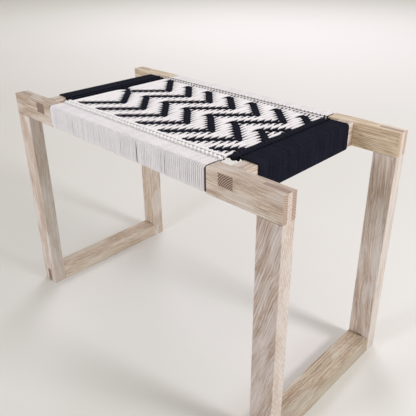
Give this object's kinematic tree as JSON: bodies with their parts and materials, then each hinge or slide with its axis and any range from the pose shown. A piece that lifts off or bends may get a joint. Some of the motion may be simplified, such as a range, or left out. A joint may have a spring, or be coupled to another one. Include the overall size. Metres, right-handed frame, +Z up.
{
  "type": "woven-seat bench",
  "caption": "Small bench with a limed-oak sled frame, corner bridle joints and a flat seat of white and black cord woven in chevrons.",
  "frame": {"origin": "on the floor under the middle of the bench", "axes": "+X along the long rails, +Y across the bench towards the back rail, +Z up"},
  "size_m": [0.68, 0.3336, 0.4534],
  "materials": {
    "oak": "limed oak with white in the open grain, matt",
    "white_cord": "soft cotton cord, matt",
    "black_cord": "soft cotton cord, matt"
  },
  "bodies": {
    "root": {"front_rail": "oak", "back_rail": "oak", "left_cross_rail": "oak", "right_cross_rail": "oak", "front_left_leg": "oak", "front_right_leg": "oak", "back_left_leg": "oak", "back_right_leg": "oak", "left_runner": "oak", "right_runner": "oak", "front_rail_wrap": "white_cord", "back_rail_wrap": "white_cord", "left_cross_wrap": "black_cord", "right_cross_wrap": "black_cord", "white_seat_cords": "white_cord", "black_seat_cords": "black_cord", "front_outer_twine": "white_cord", "front_inner_twine": "white_cord", "back_outer_twine": "white_cord", "back_inner_twine": "white_cord", "left_outer_twine": "black_cord", "left_inner_twine": "black_cord", "right_outer_twine": "black_cord", "right_inner_twine": "black_cord"}
  },
  "joints": []
}
